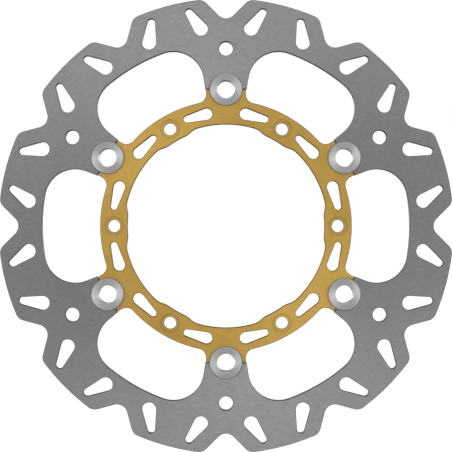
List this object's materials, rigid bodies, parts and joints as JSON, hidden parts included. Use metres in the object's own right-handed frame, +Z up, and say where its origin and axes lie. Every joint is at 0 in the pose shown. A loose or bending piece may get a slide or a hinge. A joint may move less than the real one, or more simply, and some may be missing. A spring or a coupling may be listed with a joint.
{
  "type": "brake disc rotor",
  "caption": "Floating motorcycle brake disc: a scalloped, slotted steel friction ring hung on a gold bolt-on carrier by turned bobbins held with washers and circlips.",
  "frame": {"origin": "centre of the bolt circle on the carrier's rear face, where the disc meets the wheel hub", "axes": "+Y along the wheel axle, from the front face to the hub side; the disc stands upright with +Z up and its front face towards -Y"},
  "size_m": [0.3028, 0.0105, 0.3028],
  "materials": {
    "ground_steel": "ground stainless steel with a fine grain",
    "gold_anodised": "satin gold anodised aluminium",
    "turned_steel": "turned steel with fine rings",
    "spring_steel": "bright rolled spring steel",
    "washer_steel": "stamped and plated steel",
    "dark_spring_steel": "dark phosphated spring steel"
  },
  "bodies": {
    "carrier": {"carrier": "gold_anodised"},
    "ring": {"friction_ring": "ground_steel"},
    "bobbin_set_1": {"bobbin_1": "turned_steel", "wave_washer_1": "spring_steel", "flat_washer_1": "washer_steel", "circlip_1": "dark_spring_steel"},
    "bobbin_set_2": {"bobbin_2": "turned_steel", "wave_washer_2": "spring_steel", "flat_washer_2": "washer_steel", "circlip_2": "dark_spring_steel"},
    "bobbin_set_3": {"bobbin_3": "turned_steel", "wave_washer_3": "spring_steel", "flat_washer_3": "washer_steel", "circlip_3": "dark_spring_steel"},
    "bobbin_set_4": {"bobbin_4": "turned_steel", "wave_washer_4": "spring_steel", "flat_washer_4": "washer_steel", "circlip_4": "dark_spring_steel"},
    "bobbin_set_5": {"bobbin_5": "turned_steel", "wave_washer_5": "spring_steel", "flat_washer_5": "washer_steel", "circlip_5": "dark_spring_steel"},
    "bobbin_set_6": {"bobbin_6": "turned_steel", "wave_washer_6": "spring_steel", "flat_washer_6": "washer_steel", "circlip_6": "dark_spring_steel"}
  },
  "joints": [
    {"name": "ring_float", "type": "slide", "parent": "carrier", "child": "ring", "axis": [0, 1, 0], "range_m": [-0.00015, 0.00015], "stiffness_N_per_m": 20000},
    {"name": "bobbin_1_turn", "type": "hinge", "parent": "carrier", "child": "bobbin_set_1", "pos_m": [0.07924, 0, 0.04575], "axis": [0, 1, 0], "continuous": true},
    {"name": "bobbin_2_turn", "type": "hinge", "parent": "carrier", "child": "bobbin_set_2", "pos_m": [0, 0, 0.0915], "axis": [0, 1, 0], "continuous": true},
    {"name": "bobbin_3_turn", "type": "hinge", "parent": "carrier", "child": "bobbin_set_3", "pos_m": [-0.07924, 0, 0.04575], "axis": [0, 1, 0], "continuous": true},
    {"name": "bobbin_4_turn", "type": "hinge", "parent": "carrier", "child": "bobbin_set_4", "pos_m": [-0.07924, 0, -0.04575], "axis": [0, 1, 0], "continuous": true},
    {"name": "bobbin_5_turn", "type": "hinge", "parent": "carrier", "child": "bobbin_set_5", "pos_m": [0, 0, -0.0915], "axis": [0, 1, 0], "continuous": true},
    {"name": "bobbin_6_turn", "type": "hinge", "parent": "carrier", "child": "bobbin_set_6", "pos_m": [0.07924, 0, -0.04575], "axis": [0, 1, 0], "continuous": true}
  ]
}
